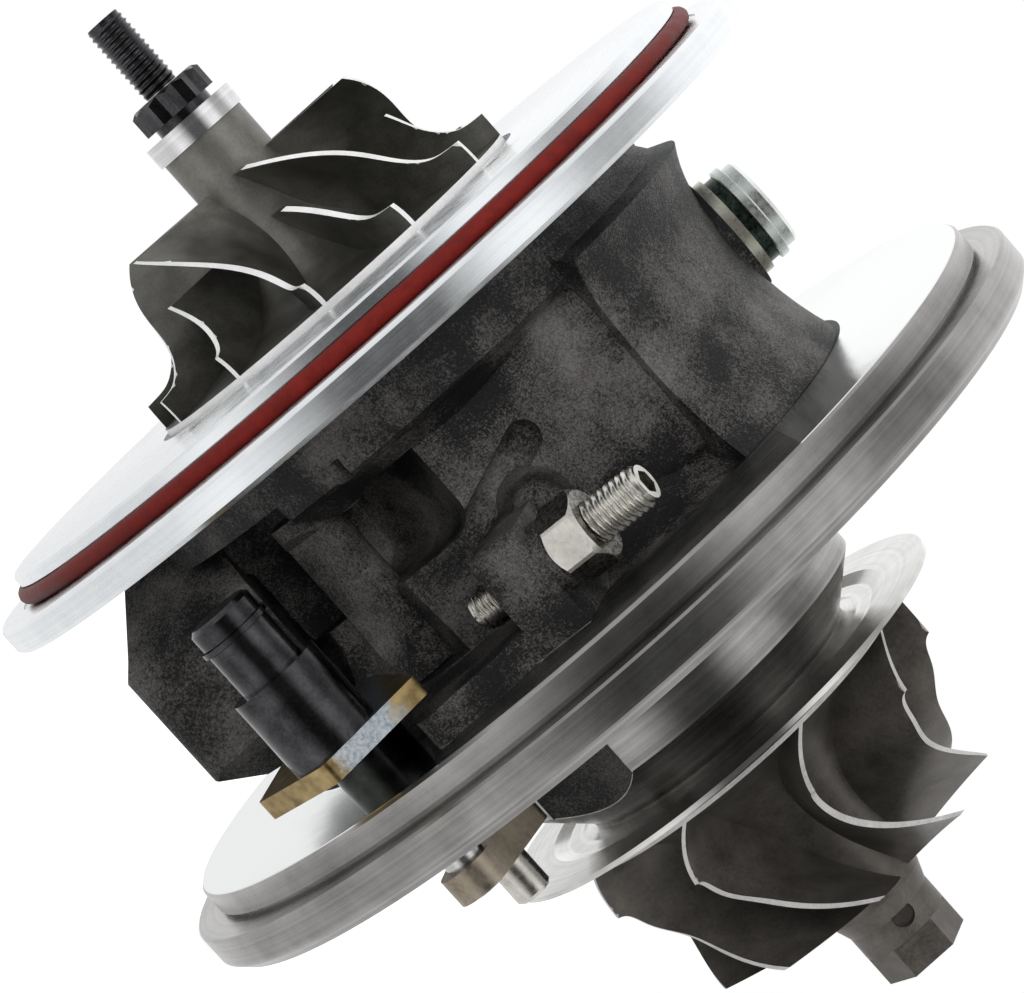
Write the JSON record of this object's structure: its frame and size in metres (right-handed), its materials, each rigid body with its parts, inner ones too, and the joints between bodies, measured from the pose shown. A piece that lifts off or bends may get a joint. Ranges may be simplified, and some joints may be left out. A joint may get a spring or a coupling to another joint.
{
  "type": "turbocharger cartridge",
  "caption": "Turbocharger cartridge: compressor and turbine wheels on a shaft, a dark cast bearing housing, a bright seal plate with a red O-ring and a lever for the vanes.",
  "frame": {"origin": "on the shaft's axis, at the turbine-side face of the large flange", "axes": "+X along the shaft towards the turbine wheel, +Z towards the oil inlet, -Y towards the vane lever"},
  "size_m": [0.1388, 0.1176, 0.1176],
  "materials": {
    "casting": "rough black casting with machined flange faces",
    "machined_aluminium": "turned, satin",
    "red_rubber": "moulded",
    "zinc_steel": "zinc plated",
    "bronze": "turned",
    "spring_steel": "oiled",
    "shield_steel": "pressed, dull",
    "ground_steel": "ground",
    "nickel_steel": "plated",
    "copper": "flat washer",
    "wheel_aluminium": "cast, milled edges",
    "wheel_alloy": "investment cast, ground edges",
    "black_oxide": "black oxide, satin",
    "gold_zinc": "gold zinc plating",
    "crank_steel": "bare, stained"
  },
  "bodies": {
    "housing": {"bearing_housing": "casting", "backplate": "machined_aluminium", "outer_o_ring": "red_rubber", "backplate_screws": "zinc_steel", "thrust_bearing": "bronze", "bearing_circlips": "spring_steel", "compressor_piston_ring": "spring_steel", "turbine_piston_ring": "spring_steel", "heat_shield": "shield_steel", "vane_ring_dowels": "ground_steel", "lever_bush": "ground_steel", "stop_screw": "nickel_steel", "stop_nut": "nickel_steel", "inlet_washer": "copper", "inlet_fitting": "zinc_steel"},
    "rotor": {"rotor_shaft": "ground_steel", "compressor_wheel": "wheel_aluminium", "turbine_wheel": "wheel_alloy", "shaft_nut": "black_oxide", "thrust_collar": "ground_steel", "oil_flinger": "ground_steel"},
    "compressor_bearing": {"journal_bearing_compressor": "bronze"},
    "turbine_bearing": {"journal_bearing_turbine": "bronze"},
    "vane_lever": {"lever_arm": "gold_zinc", "actuator_pin": "black_oxide", "pin_clip": "black_oxide", "pivot_shaft": "ground_steel", "crank_arm": "crank_steel", "crank_pin": "nickel_steel"}
  },
  "joints": [
    {"name": "rotor_spin", "type": "hinge", "parent": "housing", "child": "rotor", "pos_m": [0, 0, 0], "axis": [1, 0, 0], "continuous": true},
    {"name": "compressor_bearing_float", "type": "hinge", "parent": "housing", "child": "compressor_bearing", "pos_m": [-0.026, 0, 0], "axis": [1, 0, 0], "continuous": true},
    {"name": "turbine_bearing_float", "type": "hinge", "parent": "housing", "child": "turbine_bearing", "pos_m": [0.001, 0, 0], "axis": [1, 0, 0], "continuous": true},
    {"name": "vane_lever_turn", "type": "hinge", "parent": "housing", "child": "vane_lever", "pos_m": [-0.0154, -0.029, -0.0297], "axis": [1, 0, 0], "range_deg": [-30, 12]}
  ]
}
